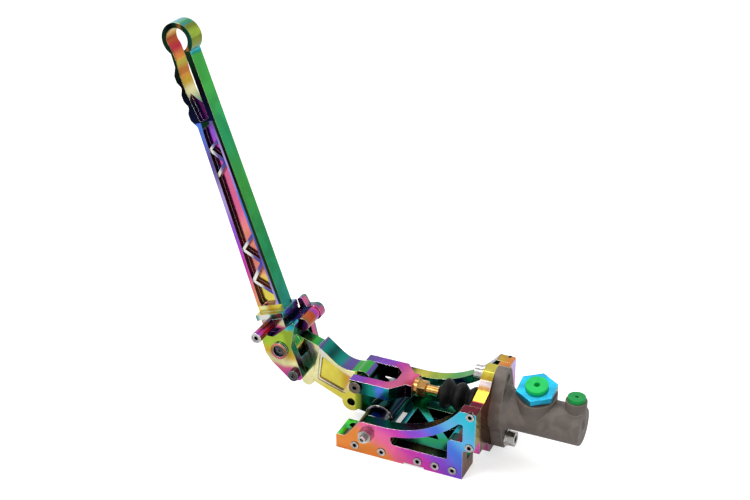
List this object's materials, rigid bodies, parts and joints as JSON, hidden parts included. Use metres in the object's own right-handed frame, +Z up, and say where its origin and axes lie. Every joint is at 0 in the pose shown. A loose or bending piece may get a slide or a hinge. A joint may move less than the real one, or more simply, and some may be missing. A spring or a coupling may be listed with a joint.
{
  "type": "hydraulic handbrake",
  "caption": "Upright hydraulic handbrake lever with a ringed grip and an adjustable elbow, on a framed base whose clevis and pushrod drive a flange-mounted master cylinder.",
  "frame": {"origin": "centre of the base's underside", "axes": "+X along the base towards the master cylinder's end, +Y from the near side plate to the far one, +Z up"},
  "size_m": [0.3715, 0.114, 0.3407],
  "materials": {
    "plated_aluminium": "polished with an oil-slick plating that runs from gold and magenta to blue, teal and green",
    "grey_casting": "matte cast, warm grey",
    "bright_steel": "bright",
    "gold_steel": "yellow plated",
    "cyan_anodised": "satin anodised",
    "green_plastic": "satin",
    "black_rubber": "satin",
    "bare_aluminium": "machined",
    "bronze": "machined"
  },
  "bodies": {
    "base": {"side_plate_near": "plated_aluminium", "side_plate_far": "plated_aluminium", "plate_screws_near": "bright_steel", "plate_screws_far": "bright_steel", "base_plate": "plated_aluminium", "cylinder_mount_plate": "plated_aluminium", "pivot_shaft": "bright_steel", "pivot_spacer_near": "plated_aluminium", "pivot_spacer_far": "plated_aluminium", "pivot_nuts": "bright_steel", "cylinder_casting": "grey_casting", "adapter_seal_ring": "black_rubber", "inlet_adapter": "cyan_anodised", "inlet_plug": "green_plastic", "outlet_plug": "green_plastic", "flange_bolts": "bright_steel", "flange_washers": "bright_steel", "piston_circlip": "bright_steel", "return_spring": "bright_steel", "dust_boot": "black_rubber"},
    "lever": {"lower_lever": "plated_aluminium", "pivot_bushes": "bronze"},
    "yoke_rod": {"yoke": "plated_aluminium", "clevis_pin": "bright_steel", "clevis_clip": "bright_steel", "clevis_washers": "bright_steel", "pushrod": "gold_steel", "jam_nut": "gold_steel"},
    "piston_body": {"piston": "bare_aluminium", "piston_seals": "black_rubber"},
    "handle_body": {"handle": "plated_aluminium", "elbow_fork": "plated_aluminium", "elbow_pivot_bolt": "bright_steel", "elbow_pivot_nut": "bright_steel", "lock_bolt": "bright_steel", "lock_nut": "bright_steel", "front_barrel": "plated_aluminium", "barrel_screw": "bright_steel", "barrel_nut": "bright_steel", "rear_stop_barrel": "plated_aluminium", "rear_stop_bolt": "bright_steel"}
  },
  "joints": [
    {"name": "handle_pull", "type": "hinge", "parent": "base", "child": "lever", "pos_m": [-0.029, 0, 0.02], "axis": [0, 1, 0], "range_deg": [0, 20]},
    {"name": "yoke_swing", "type": "hinge", "parent": "lever", "child": "yoke_rod", "pos_m": [-0.0507, 0, 0.046], "axis": [0, 1, 0], "range_deg": [-17.4, 0]},
    {"name": "piston_slide", "type": "slide", "parent": "base", "child": "piston_body", "axis": [1, 0, 0], "range_m": [0, 0.0101], "deforming": ["return_spring", "dust_boot"]},
    {"name": "handle_tilt", "type": "hinge", "parent": "lever", "child": "handle_body", "pos_m": [-0.1223, 0, 0.0646], "axis": [0, 1, 0], "range_deg": [-6, 6]}
  ],
  "couplings": [
    {"joint": "yoke_swing", "follows": "handle_pull", "ratio": -0.866},
    {"joint": "piston_slide", "follows": "handle_pull", "m_per_rad": 0.0288}
  ]
}
